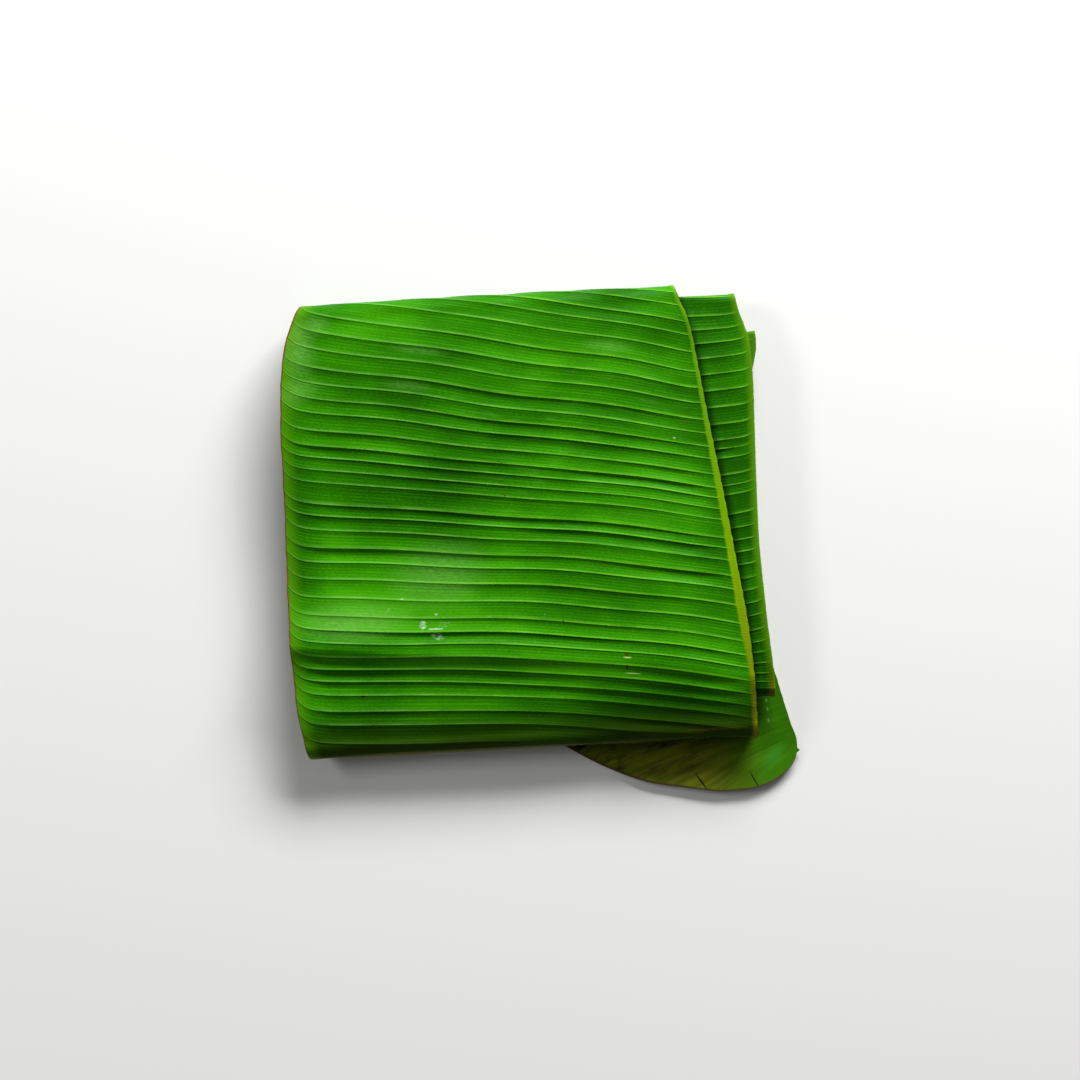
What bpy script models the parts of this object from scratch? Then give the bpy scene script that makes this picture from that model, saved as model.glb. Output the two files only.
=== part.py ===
"""Half a banana leaf: one half-blade cut from its midrib and rolled up flat.

The blade is one grown sheet. It runs from its rounded tip, which lies lowest and shows
at the front right, to the cut at its base, which lies hidden inside the roll.
X runs along the folds, from the thin margin (-X) to the cut midrib edge (+X), Y runs along
the leaf, front to back, and Z is up from the surface that the leaf lies on.
Lengths are worked out in millimetres and turned into metres at the last step.
"""

import math
import random

import bmesh
import bpy
from mathutils import Vector

MM = 0.001

# Sheet
SHEET = 0.8
FLANK = 2.0
FLANK_WIDTH = 4.5

# Side veins: their usual gap along the midrib, and how deep the blade sags between two
PITCH = 8.6
SAG = 0.85

# The blade is pulled tauter, and sags less, over the back fold
TAUT = ((340.0, 0.6), (430.0, 0.75), (520.0, 1.0))

# The gaps between veins, in order, where the top layer and the one below it show them
TOP_FROM = 340.0
TOP_GAPS = (
    8.5, 11.0, 13.0, 10.5, 10.0, 11.0, 9.0, 8.5, 8.0, 10.0, 8.5, 6.5, 7.0, 7.0, 12.0, 6.5,
    8.0, 10.0, 8.5, 10.0, 11.0, 10.5, 8.5, 7.5, 8.0, 7.5, 7.0, 7.0, 8.0,
)
SECOND_FROM = 912.0
SECOND_GAPS = (
    8.0, 8.5, 10.0, 11.0, 11.0, 11.0, 11.0, 10.0, 5.5, 6.0, 11.0, 7.0, 6.0, 13.0, 9.0, 8.0,
    7.5, 8.0, 8.5, 7.5, 8.0, 8.0, 9.0, 7.5, 7.0, 7.5, 7.0, 5.5,
)

# The roll: where the blade first starts, and each turn as (y, height before, height after)
START_Y = -171.0
TURNS = (
    (137.4, 0.4, 24.4),
    (-132.0, 18.6, 4.4),
    (136.0, 4.0, 18.4),
    (-112.5, 13.3, 8.1),
    (115.5, 8.1, 13.1),
)
END_Y = -70.0
END_HEIGHT = 12.6

# Height of the second layer from front to back
SECOND_PROFILE = ((-112.5, 13.3), (-95.0, 15.4), (-50.0, 18.4), (60.0, 19.0), (136.0, 18.4))

# The top layer rises to a crease that runs slantwise across it, then drops to the front
# fold: at once on its left, evenly on its right. Shares run from crease to fold, and the
# heights are given twice, on the left and on the right.
CREASE = ((-145.0, -74.5), (-76.0, -81.0), (-4.0, -87.0), (61.0, -93.0), (100.0, -98.0), (140.0, -105.0))
FRONT_DROP = (
    (0.0, 28.9, 28.0), (0.012, 28.7, 27.95), (0.1, 26.4, 27.4), (0.18, 24.8, 26.6), (0.3, 23.4, 25.2),
    (0.42, 22.7, 23.7), (0.62, 22.2, 21.6), (0.84, 20.8, 19.4), (1.0, 18.6, 18.6),
)
BACK_RISE = (
    (0.0, 28.9, 28.0), (0.005, 28.75, 27.95), (0.04, 27.6, 27.6), (0.09, 26.0, 27.1), (0.17, 23.9, 26.4),
    (0.26, 22.4, 25.9), (0.36, 22.7, 25.6), (0.54, 24.9, 25.5), (0.66, 26.3, 25.8), (0.79, 27.0, 26.5),
    (0.93, 26.1, 26.0), (1.0, 24.4, 24.4),
)
EDGE_DROOP = 3.2
SECOND_LIFT = 1.7

# Midrib edge: x against the distance along the blade
MIDRIB = (
    (0.0, 160.0), (23.0, 160.4), (28.5, 160.8), (40.0, 158.0), (64.0, 153.0), (92.0, 147.6),
    (180.0, 132.0), (260.0, 115.0), (305.0, 105.0), (328.0, 104.6), (346.0, 107.5),
    (360.0, 112.0), (373.0, 114.6), (442.0, 122.2), (509.0, 130.0), (568.0, 134.6),
    (617.0, 135.8), (641.0, 135.8), (760.0, 139.0), (907.0, 143.0), (930.0, 145.0),
    (946.0, 148.8), (954.0, 150.5), (972.0, 150.8), (1014.0, 149.0), (1049.0, 147.2),
    (1091.0, 145.6), (1128.0, 146.4), (1177.0, 148.6), (1185.0, 148.2), (1300.0, 143.0),
    (1392.0, 147.0), (1408.0, 154.6), (1424.0, 155.9), (1432.0, 155.4), (1446.0, 151.5),
    (1475.0, 145.0), (1620.0, 138.0),
)

# Margin: x against the distance along the blade, and how far it leads the midrib end of a
# vein. Each vein bends as it leaves the midrib, and sweeps towards the tip at the margin.
MARGIN = (
    (300.0, -129.5), (328.0, -131.5), (347.0, -136.4), (360.0, -141.4), (375.0, -143.6),
    (421.0, -145.2), (480.0, -143.8), (530.0, -142.4), (562.0, -141.2), (592.0, -138.7),
    (617.0, -134.0), (641.0, -128.8), (780.0, -130.0), (906.0, -124.0), (1050.0, -129.0),
    (1177.0, -122.0), (1300.0, -120.0), (1420.0, -114.0), (1620.0, -112.0),
)
LEAD = (
    (353.0, 62.0), (421.0, 58.0), (485.0, 48.0), (545.0, 41.0), (595.0, 37.0), (641.0, 33.0),
    (760.0, 20.0), (906.0, 10.0), (1000.0, 6.0), (1120.0, 2.0), (1620.0, 0.0),
)
ROOT = (
    (330.0, 0.0), (421.0, 3.0), (470.0, 8.0), (510.0, 12.0), (545.0, 15.0), (600.0, 17.0),
    (641.0, 17.0), (906.0, 2.0), (960.0, 0.0), (1620.0, 0.0),
)
SWEEP = (
    (0.0, 0.0), (80.0, 4.0), (330.0, 7.0), (480.0, 8.0), (600.0, 10.0), (906.0, 6.0), (1620.0, 0.0),
)

# Rounded tip: each entry joins a distance from the tip, along the midrib, to the place
# (x, distance along the blade) where the vein that starts there meets the margin
TIP = 23.0
TIP_MARGIN = (
    (0.0, 160.4, 23.0), (0.5, 158.9, 18.2), (1.0, 155.8, 13.6), (1.6, 150.5, 9.0),
    (2.4, 143.9, 5.2), (3.3, 134.3, 2.0), (4.0, 127.0, 1.0), (6.0, 113.0, 0.8), (9.0, 103.0, 2.0),
    (15.0, 86.0, 5.1), (20.0, 72.0, 7.7), (25.0, 58.5, 12.3), (33.0, 41.0, 20.7), (39.0, 31.0, 26.4),
    (50.0, 20.0, 33.2), (66.0, 0.0, 47.0), (100.0, -35.0, 76.0), (150.0, -72.0, 121.0),
    (203.0, -100.0, 171.0), (250.0, -117.0, 218.0), (298.0, -126.0, 263.0), (330.0, -129.5, 291.0),
)
TIP_LINES = (0.3, 0.9, 1.6, 2.6, 6.0)

# The leaf rests on three low points round its weight, with a flat spot between them. Away
# from these the lowest layer lies this much off the surface.
LOW_POINTS = ((58.2, 24.0), (-56.5, 62.6), (-5.0, -56.0))
LOW_REACH = 30.0
SPOT_X = 44.0
SPOT_Y = 20.0
SPOT_HEIGHT = 0.05
LIFT = 0.35

# Places across the blade, from the midrib edge to the margin
ACROSS = (0.0, 0.018, 0.13, 0.31, 0.52, 0.74, 0.89, 0.965, 1.0)

random.seed(31)


def clear_scene():
    for old in list(bpy.data.objects):
        bpy.data.objects.remove(old, do_unlink=True)


def ease(low, high, value):
    """A smooth step from 0 at low to 1 at high."""
    f = min(1.0, max(0.0, (value - low) / (high - low)))
    return f * f * (3.0 - 2.0 * f)


def through(knots, value, column=1):
    """A smooth curve through the knots, level at both ends."""
    if value <= knots[0][0]:
        return knots[0][column]
    if value >= knots[-1][0]:
        return knots[-1][column]
    i = 0
    while knots[i + 1][0] < value:
        i += 1

    def slope(j):
        if j == 0 or j == len(knots) - 1:
            return 0.0
        before = (knots[j][column] - knots[j - 1][column]) / (knots[j][0] - knots[j - 1][0])
        after = (knots[j + 1][column] - knots[j][column]) / (knots[j + 1][0] - knots[j][0])
        if before * after <= 0.0:
            return 0.0
        return 2.0 * before * after / (before + after)

    a, b = knots[i], knots[i + 1]
    width = b[0] - a[0]
    f = (value - a[0]) / width
    start = a[column] * (1.0 + 2.0 * f) * (1.0 - f) ** 2 + slope(i) * width * f * (1.0 - f) ** 2
    finish = b[column] * f * f * (3.0 - 2.0 * f) - slope(i + 1) * width * f * f * (1.0 - f)
    return start + finish


def course():
    """The runs and turns of the rolled blade in order, each with its start distance."""
    pieces = []
    s = 0.0
    y = START_Y
    z = TURNS[0][1]
    for number, (turn_y, low, high) in enumerate(TURNS):
        pieces.append(("run", s, abs(turn_y - y), y, turn_y, z, low, number))
        s += abs(turn_y - y)
        arc = math.pi * abs(high - low) / 2.0
        pieces.append(("turn", s, arc, turn_y, turn_y, low, high, number))
        s += arc
        y, z = turn_y, high
    pieces.append(("run", s, abs(END_Y - y), y, END_Y, z, END_HEIGHT, len(TURNS)))
    return pieces


COURSE = course()
BLADE_END = COURSE[-1][1] + COURSE[-1][2]


def piece_at(s):
    for piece in reversed(COURSE):
        if s >= piece[1]:
            return piece
    return COURSE[0]


def between_folds(y):
    """1 over the middle of the packet, 0 at its folds."""
    return ease(-130.0, -98.0, y) * (1.0 - ease(98.0, 132.0, y))


def top_height(x, y):
    """The height of the top layer over the packet, drooping to the next at its edge."""
    crease = through(CREASE, x)
    if y < crease:
        share, knots = (crease - y) / (crease - TURNS[1][0]), FRONT_DROP
    else:
        share, knots = (y - crease) / (TURNS[0][0] - crease), BACK_RISE
    left, right = through(knots, share, 1), through(knots, share, 2)
    level = left + (right - left) * ease(-75.0, 85.0, x)
    from_edge = x - (121.5 - 0.107 * y)
    return level - EDGE_DROOP * ease(-48.0, 0.0, from_edge) * between_folds(y)


def lies_free(x, y):
    """How free the lowest layer is, 0 to 1, and how high its flat spot holds it there."""
    nearest = min(math.hypot(x - low_x, y - low_y) for low_x, low_y in LOW_POINTS)
    off_spot = ease(1.0, 1.6, math.hypot(x / SPOT_X, y / SPOT_Y))
    return off_spot * min(1.0, nearest / LOW_REACH), SPOT_HEIGHT * (1.0 - off_spot)


def place(x, s, sag, stout):
    """The middle of the sheet at distance s along the blade, with its sag between veins."""
    kind, start, length, y0, y1, z0, z1, number = piece_at(s)
    f = (s - start) / length
    if kind == "turn":
        middle = (z0 + z1) / 2.0
        radius = abs(z1 - z0) / 2.0 - sag
        angle = math.pi * (f - 0.5) if z1 > z0 else math.pi * (0.5 - f)
        side = 1.0 if z1 > z0 else -1.0
        y = y0 + side * radius * math.cos(angle)
        z = middle + radius * math.sin(angle)
        if number == 0:
            z += LIFT * (1.0 - ease(0.4, 12.0, z))
    else:
        y = y0 + (y1 - y0) * f
        z = z0 + (z1 - z0) * ease(0.0, 1.0, f)
        if number == 0:
            loose, spot = lies_free(x, y)
            curl = 3.0 * ease(-142.0, -176.0, y) + 1.2 * ease(140.0, 168.0, x) * ease(-100.0, -150.0, y)
            z += loose * (LIFT + sag) + spot + curl
        elif number == 1:
            z = top_height(x, y) - sag
        elif number == 3:
            lift = SECOND_LIFT * ease(60.0, 125.0, x) * between_folds(y)
            z = through(SECOND_PROFILE, y) + lift - sag
        elif number % 2:
            z -= sag
        else:
            z += sag
    # The thick flank lies on the surface and not in it
    z += stout * (FLANK - SHEET) / 2.0 * (1.0 - ease(0.0, 7.0, z))
    # The back folds bow a little outwards in the middle
    y += 0.013 * max(y, 0.0) * (1.0 - ((x - 25.0) / 150.0) ** 2)
    return Vector((x, y, z))


def margin_end(m):
    """Where the vein that starts m from the tip meets the margin: x and distance along."""
    if m <= TIP_MARGIN[-1][0]:
        return through(TIP_MARGIN, m, 1), through(TIP_MARGIN, m, 2)
    s = TIP + m - through(LEAD, TIP + m)
    return through(MARGIN, s), s


def along_vein(edge_s, end_s, width, t, x):
    """The distance along the blade at x, share t of the vein that leaves the midrib at edge_s."""
    root = through(ROOT, edge_s)
    sweep = through(SWEEP, edge_s)
    from_margin = width * (1.0 - t)
    swept = 0.3 * math.exp(-from_margin / 12.0) + 0.7 * math.exp(-from_margin / 4.0)
    s = edge_s - root * (1.0 - (1.0 - min(1.0, t / 0.7)) ** 2)
    s += (end_s - edge_s + root + sweep) * t - sweep * swept
    # The second layer's veins dip towards the base just off the midrib
    second = ease(900.0, 960.0, edge_s) * (1.0 - ease(1144.0, 1176.0, edge_s))
    from_midrib = width * t
    dip = 2.5 * (1.0 - math.exp(-from_midrib / 2.5)) + 8.0 * ease(-60.0, 60.0, from_midrib) - 4.0
    s += dip * second * (1.0 - ease(0.4, 1.0, t))
    # The top layer's veins crowd towards the crease on its left
    return s - 2.4 * math.exp(-(((x + 100.0) / 70.0) ** 2) - ((s - 580.0) / 13.0) ** 2)


def veins():
    """Distances from the tip at which the side veins leave the midrib."""
    starts = [TIP_LINES[0], 4.0]
    for shown_from, gaps in ((TOP_FROM, TOP_GAPS), (SECOND_FROM, SECOND_GAPS), (BLADE_END - TIP, ())):
        while starts[-1] < shown_from - 1.7 * PITCH:
            starts.append(starts[-1] + PITCH * random.uniform(0.74, 1.28))
        starts.append(shown_from)
        for gap in gaps:
            starts.append(starts[-1] + gap)
    return starts


def rows():
    """Lines across the blade: distance from the tip and the share of the full sag there."""
    lines = [(m, 0.0) for m in TIP_LINES]
    starts = veins()
    end = BLADE_END - TIP
    for here, after in zip(starts[1:], starts[2:]):
        kind, start, length, _, _, _, _, number = piece_at(TIP + here)
        gap = after - here
        tight = kind == "turn" and number > 2
        hidden = kind == "run" and number in (2, 4, 5)
        if tight or hidden:
            continue
        lines.append((here, 0.0))
        if number == 1 or kind == "turn" or (number == 2 and kind == "run"):
            lines.append((here + 0.34 * gap, 1.0))
            lines.append((here + 0.68 * gap, 0.7))
        else:
            lines.append((here + 0.4 * gap, 1.0))
    # Hidden layers carry no sag, and a tight fold is rounded by close lines
    for kind, start, length, _, _, _, _, number in COURSE:
        first = start - TIP
        if kind == "turn" and number > 2:
            count = 7
        elif kind == "run" and number in (2, 4, 5):
            count = max(1, round(length / 17.0))
        else:
            continue
        lines += [(first + length * (i + 0.5) / count, 0.0) for i in range(count)]
    lines = sorted(line for line in lines if line[0] < end - 3.0)
    lines.append((end, 0.0))
    # Lines that all but coincide would leave slivers
    kept = [lines[0]]
    for line in lines[1:]:
        if line[0] - kept[-1][0] > (0.5 if line[0] < 4.0 else 0.8):
            kept.append(line)
    return kept


def near_turn(s):
    """1 where the blade is flat or rounds a loose fold, 0 in the tight inner folds."""
    share = 1.0
    for kind, start, length, _, _, _, _, number in COURSE:
        if kind == "turn" and number > 2:
            gap = max(start - s, s - start - length, 0.0)
            share = min(share, ease(0.0, 25.0, gap))
    return share


def make_leaf():
    mesh = bpy.data.meshes.new("banana_leaf")
    leaf = bpy.data.objects.new("banana_leaf", mesh)
    bpy.context.collection.objects.link(leaf)
    flank = leaf.vertex_groups.new(name="flank")

    lines = rows()
    bm = bmesh.new()
    bmesh.ops.create_grid(bm, x_segments=len(ACROSS) - 1, y_segments=len(lines) - 1, size=0.5)
    grid = sorted(bm.verts, key=lambda v: (round(v.co.y, 6), v.co.x))
    columns = len(ACROSS)
    weights = []
    for i, (m, share) in enumerate(lines):
        edge_s = TIP + m
        edge_x = through(MIDRIB, edge_s)
        end_x, end_s = margin_end(m)
        width = math.hypot(end_x - edge_x, end_s - edge_s)
        for j, across in enumerate(ACROSS):
            t = across
            if j == 1:
                t = min(0.1, FLANK_WIDTH / width)
            elif j == 2:
                t = max(across, min(0.24, 2.2 * FLANK_WIDTH / width))
            x = edge_x + (end_x - edge_x) * t
            s = along_vein(edge_s, end_s, width, t, x)
            open_blade = ease(0.0, 28.0, width * t) * (0.1 + 0.9 * ease(2.0, 24.0, width * (1.0 - t)))
            sag = SAG * through(TAUT, s) * share * near_turn(s) * open_blade
            stout = ease(0.0, 160.0, m) * (1.0 if j == 0 else 0.55 if j == 1 else 0.0)
            grid[i * columns + j].co = place(x, s, sag, stout) * MM
            weights.append((i * columns + j, stout))
    for number, vertex in enumerate(grid):
        vertex.index = number
    bm.verts.sort()
    bm.verts.ensure_lookup_table()
    bmesh.ops.triangulate(bm, faces=bm.faces[:])
    bm.to_mesh(mesh)
    bm.free()
    for index, weight in weights:
        flank.add([index], weight, "REPLACE")

    body = leaf.modifiers.new("Thickness", "SOLIDIFY")
    body.thickness = FLANK * MM
    body.offset = 0.0
    body.use_rim = True
    body.vertex_group = "flank"
    body.thickness_vertex_group = SHEET / FLANK
    return leaf


def leaf_material():
    material = bpy.data.materials.new("leaf_green")
    material.use_nodes = True
    shader = material.node_tree.nodes["Principled BSDF"]
    shader.inputs["Base Color"].default_value = (0.03, 0.175, 0.004, 1.0)
    shader.inputs["Roughness"].default_value = 0.38
    shader.inputs["Metallic"].default_value = 0.0
    return material


clear_scene()
leaf = make_leaf()
leaf.data.materials.append(leaf_material())
for polygon in leaf.data.polygons:
    polygon.use_smooth = True
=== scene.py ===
"""Half a banana leaf, cut from its midrib and rolled up flat, on a pale table.

X runs along the folds, from the thin margin (-X) to the cut midrib edge (+X), Y runs
along the leaf, front to back, and Z is up. Lengths in the leaf are worked out in
millimetres and turned into metres as each point is placed.
"""

import math
import random

import bmesh
import bpy
import numpy as np
from mathutils import Matrix, Vector


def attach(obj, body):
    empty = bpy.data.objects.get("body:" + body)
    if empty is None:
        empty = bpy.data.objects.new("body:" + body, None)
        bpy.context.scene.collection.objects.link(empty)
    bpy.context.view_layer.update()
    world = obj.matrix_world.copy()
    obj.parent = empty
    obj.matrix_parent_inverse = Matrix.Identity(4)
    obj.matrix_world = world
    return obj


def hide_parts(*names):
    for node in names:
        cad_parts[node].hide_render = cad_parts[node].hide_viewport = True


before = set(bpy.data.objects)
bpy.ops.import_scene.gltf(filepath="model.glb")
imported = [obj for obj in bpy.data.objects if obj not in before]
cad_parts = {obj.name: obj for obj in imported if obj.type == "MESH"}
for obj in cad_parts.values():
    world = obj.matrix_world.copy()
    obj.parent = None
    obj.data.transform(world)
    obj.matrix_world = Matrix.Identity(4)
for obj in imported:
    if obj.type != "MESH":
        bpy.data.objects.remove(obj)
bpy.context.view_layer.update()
MM = 0.001

# The course of the roll. The blade is one limp sheet. It starts at its rounded tip, which
# lies lowest, goes back under the packet, over the top, and twice more round inside,
# where it ends at the plain cut at its base. Each turn is (y, height before, after).
START_Y = -171.0
TURNS = (
    (137.4, 0.4, 24.4),
    (-132.0, 18.6, 4.4),
    (136.0, 4.0, 18.4),
    (-112.5, 13.3, 8.1),
    (115.5, 8.1, 13.1),
)
END_Y = -70.0
END_HEIGHT = 12.6

# Height of the second layer from front to back, and how far it rises more under the open
# edge of the top one
SECOND_PROFILE = ((-112.5, 13.3), (-95.0, 15.4), (-50.0, 18.4), (60.0, 19.0), (136.0, 18.4))
SECOND_LIFT = 1.7

# The top layer rises to a crease that runs slantwise across it, then drops to the front
# fold: at once on its left, evenly on its right. Shares run from crease to fold, and the
# heights are given twice, on the left and on the right.
CREASE = ((-145.0, -74.5), (-76.0, -81.0), (-4.0, -87.0), (61.0, -93.0), (100.0, -98.0), (140.0, -105.0))
FRONT_DROP = (
    (0.0, 28.9, 28.0), (0.012, 28.7, 27.95), (0.1, 26.4, 27.4), (0.18, 24.8, 26.6), (0.3, 23.4, 25.2),
    (0.42, 22.7, 23.7), (0.62, 22.2, 21.6), (0.84, 20.8, 19.4), (1.0, 18.6, 18.6),
)
BACK_RISE = (
    (0.0, 28.9, 28.0), (0.005, 28.75, 27.95), (0.04, 27.6, 27.6), (0.09, 26.0, 27.1), (0.17, 23.9, 26.4),
    (0.26, 22.4, 25.9), (0.36, 22.7, 25.6), (0.54, 24.9, 25.5), (0.66, 26.3, 25.8), (0.79, 27.0, 26.5),
    (0.93, 26.1, 26.0), (1.0, 24.4, 24.4),
)

# Its free edge droops over the last EDGE_REACH, and it has a soft rise and a soft hollow
# at the back right, each as (x, y, width, depth, height). The edge stands at EDGE_X by
# the middle, and leans in towards the back.
EDGE_DROOP = 3.2
EDGE_REACH = 48.0
EDGE_X = 121.5
EDGE_LEAN = 0.107
SWELLS = ((75.0, 60.0, 50.0, 22.0, 0.5), (40.0, 78.0, 60.0, 12.0, -0.5))

# It rests on three low points round its weight, with a flat spot between them. Away from
# these the lowest layer lies LIFT off the table, and its tip and its point curl up more.
LOW_POINTS = ((58.2, 24.0), (-56.5, 62.6), (-5.0, -56.0))
LOW_REACH = 30.0
SPOT_X = 44.0
SPOT_Y = 20.0
SPOT_HEIGHT = 0.05
LIFT = 0.35
TIP_CURL = 3.0
POINT_CURL = 1.2

# The back folds bow out a little in the middle, by this share of their distance
BOW = 0.013

course = []
distance = 0.0
from_y = START_Y
from_z = TURNS[0][1]
for number, (turn_y, low, high) in enumerate(TURNS):
    course.append(("run", distance, abs(turn_y - from_y), from_y, turn_y, from_z, low, number))
    distance += abs(turn_y - from_y)
    arc = math.pi * abs(high - low) / 2.0
    course.append(("turn", distance, arc, turn_y, turn_y, low, high, number))
    distance += arc
    from_y, from_z = turn_y, high
course.append(
    ("run", distance, abs(END_Y - from_y), from_y, END_Y, from_z, END_HEIGHT, len(TURNS))
)
blade_end = distance + abs(END_Y - from_y)


def ease(low, high, value):
    """A smooth step from 0 at low to 1 at high."""
    f = np.clip((value - low) / (high - low), 0.0, 1.0)
    return f * f * (3.0 - 2.0 * f)


def through(knots, value, column=1):
    """A smooth curve through the knots, level at both ends."""
    table = np.array(knots)
    places, heights = table[:, 0], table[:, column]
    rises = np.diff(heights) / np.diff(places)
    slopes = np.zeros(len(table))
    for j in range(1, len(table) - 1):
        if rises[j - 1] * rises[j] > 0.0:
            slopes[j] = 2.0 * rises[j - 1] * rises[j] / (rises[j - 1] + rises[j])
    at = np.clip(value, places[0], places[-1])
    i = np.clip(np.searchsorted(places, at) - 1, 0, len(table) - 2)
    width = places[i + 1] - places[i]
    f = (at - places[i]) / width
    g = 1.0 - f
    start = heights[i] * (1.0 + 2.0 * f) * g * g + slopes[i] * width * f * g * g
    return start + heights[i + 1] * f * f * (3.0 - 2.0 * f) - slopes[i + 1] * width * f * f * g


def swell(x, y, at_x, at_y, wide, deep):
    """A soft rise or hollow in the sheet, 1 at its middle."""
    return np.exp(-(((x - at_x) / wide) ** 2) - ((y - at_y) / deep) ** 2)


def between_folds(y):
    """1 over the middle of the packet, 0 at its folds."""
    return ease(-130.0, -98.0, y) * (1.0 - ease(98.0, 132.0, y))


def top_height(x, y):
    """The height of the top layer over the packet."""
    crease = through(CREASE, x)
    right = ease(-75.0, 85.0, x)
    front = np.clip((crease - y) / (crease + 132.0), 0.0, 1.0)
    behind = np.clip((y - crease) / (137.4 - crease), 0.0, 1.0)
    heights = []
    for side in (1, 2):
        heights.append(
            np.where(y < crease, through(FRONT_DROP, front, side), through(BACK_RISE, behind, side))
        )
    level = heights[0] + (heights[1] - heights[0]) * right
    from_edge = x - (EDGE_X - EDGE_LEAN * y)
    return level - EDGE_DROOP * ease(-EDGE_REACH, 0.0, from_edge) * between_folds(y)


def place(x, s, sag, stout):
    """The middle of the sheet at distance s along the blade, with its sag between veins."""
    y = np.zeros_like(x)
    z = np.zeros_like(x)
    for kind, start, length, y0, y1, z0, z1, number in course:
        first = START_Y if start == 0.0 else start
        here = (s >= first) & ((s < start + length) | (number == len(TURNS)))
        f = (s[here] - start) / length
        across = x[here]
        hang = sag[here]
        if kind == "turn":
            middle = (z0 + z1) / 2.0
            side = 1.0 if z1 > z0 else -1.0
            radius = abs(z1 - z0) / 2.0 - hang
            angle = side * math.pi * (f - 0.5)
            y[here] = y0 + side * radius * np.cos(angle)
            z[here] = middle + radius * np.sin(angle)
            if number == 0:
                z[here] += LIFT * (1.0 - ease(0.4, 12.0, z[here]))
            continue
        along = y0 + (y1 - y0) * f
        level = z0 + (z1 - z0) * ease(0.0, 1.0, f)
        if number == 0:
            off_spot = ease(1.0, 1.6, np.hypot(across / SPOT_X, along / SPOT_Y))
            nearest = np.full_like(across, LOW_REACH)
            for low_x, low_y in LOW_POINTS:
                nearest = np.minimum(nearest, np.hypot(across - low_x, along - low_y))
            curl = TIP_CURL * ease(142.0, 176.0, -along)
            curl += POINT_CURL * ease(140.0, 168.0, across) * ease(100.0, 150.0, -along)
            level = level + off_spot * nearest / LOW_REACH * (LIFT + hang) + curl
            level += SPOT_HEIGHT * (1.0 - off_spot)
        elif number == 1:
            level = top_height(across, along) - hang
            for at_x, at_y, wide, deep, rise in SWELLS:
                level += rise * swell(across, along, at_x, at_y, wide, deep)
        elif number == 3:
            level = through(SECOND_PROFILE, along) - hang
            level += SECOND_LIFT * ease(60.0, 125.0, across) * between_folds(along)
        else:
            level = level - hang if number % 2 else level + hang
        y[here] = along
        z[here] = level
    z += stout * (FLANK - SHEET) / 2.0 * (1.0 - ease(0.0, 7.0, z))
    y += BOW * np.maximum(y, 0.0) * (1.0 - ((x - 25.0) / 150.0) ** 2)
    return x, y, z


# The blade itself: a thin, tough, waxy sheet, a little stouter along the flank where it was
# cut off its midrib. Side veins cross it every 8 or 9 mm as fine raised ribs, and the
# blade hangs between them in shallow troughs, steeper on the side towards the base.
SHEET = 0.8
FLANK = 2.0
FLANK_WIDTH = 4.5
PITCH = 8.6
SAG = 0.85
TIP = 23.0

# Its two long edges, each as x against the distance along the blade
MIDRIB = (
    (0.0, 160.0), (23.0, 160.4), (28.5, 160.8), (40.0, 158.0), (64.0, 153.0), (92.0, 147.6),
    (180.0, 132.0), (260.0, 115.0), (305.0, 105.0), (328.0, 104.6), (346.0, 107.5),
    (360.0, 112.0), (373.0, 114.6), (442.0, 122.2), (509.0, 130.0), (568.0, 134.6),
    (617.0, 135.8), (641.0, 135.8), (760.0, 139.0), (907.0, 143.0), (930.0, 145.0),
    (946.0, 148.8), (954.0, 150.5), (972.0, 150.8), (1014.0, 149.0), (1049.0, 147.2),
    (1091.0, 145.6), (1128.0, 146.4), (1177.0, 148.6), (1185.0, 148.2), (1300.0, 143.0),
    (1392.0, 147.0), (1408.0, 154.6), (1424.0, 155.9), (1432.0, 155.4), (1446.0, 151.5),
    (1475.0, 145.0), (1620.0, 138.0),
)
MARGIN = (
    (300.0, -129.5), (328.0, -131.5), (347.0, -137.4), (353.5, -139.3), (360.0, -141.1),
    (375.0, -143.6), (421.0, -145.2), (480.0, -143.8), (530.0, -142.4), (562.0, -141.2),
    (592.0, -138.7), (617.0, -134.0), (641.0, -128.8), (780.0, -130.0), (906.0, -124.0),
    (1050.0, -129.0), (1177.0, -122.0), (1300.0, -120.0), (1420.0, -114.0), (1620.0, -112.0),
)

# How far the margin end of a vein leads its midrib end, how far the vein bends back where
# it leaves the midrib, and how far it sweeps towards the tip at the margin
LEAD = (
    (353.0, 62.0), (421.0, 58.0), (485.0, 48.0), (545.0, 41.0), (595.0, 37.0), (641.0, 33.0),
    (760.0, 20.0), (906.0, 10.0), (1000.0, 6.0), (1120.0, 2.0), (1620.0, 0.0),
)
ROOT = (
    (330.0, 0.0), (421.0, 3.0), (470.0, 8.0), (510.0, 12.0), (545.0, 15.0), (600.0, 17.0),
    (641.0, 17.0), (906.0, 2.0), (960.0, 0.0), (1620.0, 0.0),
)
SWEEP = ((0.0, 0.0), (80.0, 4.0), (330.0, 7.0), (480.0, 8.0), (600.0, 10.0), (906.0, 6.0), (1620.0, 0.0))

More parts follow.
